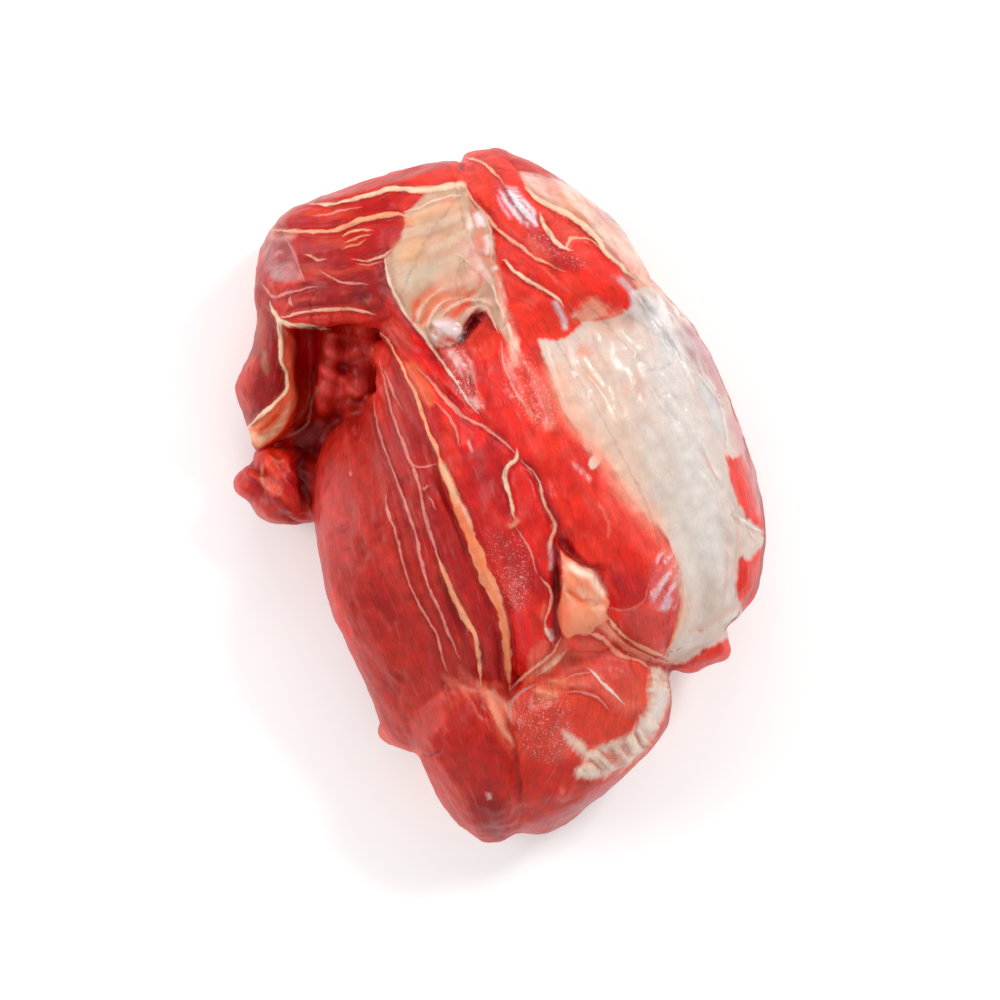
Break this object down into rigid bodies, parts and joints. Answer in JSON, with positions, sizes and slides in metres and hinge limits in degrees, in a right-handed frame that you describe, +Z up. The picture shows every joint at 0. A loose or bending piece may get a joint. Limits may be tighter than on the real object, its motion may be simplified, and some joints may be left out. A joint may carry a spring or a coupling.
{
  "type": "raw beef shank",
  "caption": "Boneless raw beef shank lying on its flat side: bundled red muscles with silver skin, tendon and fat seams, and an open hollow where the bone came out.",
  "frame": {"origin": "on the resting surface, under the middle of the piece's bounding box", "axes": "+Z up out of the cut side, +Y towards the thick end with the arch over the bone's hollow, -Y towards the two rounded heads, +X towards the silver skin side"},
  "size_m": [0.1779, 0.232, 0.087],
  "materials": {
    "meat": "wet raw meat, red, with cream fascia, fat and silver skin"
  },
  "bodies": {
    "root": {"shank": "meat"}
  },
  "joints": []
}
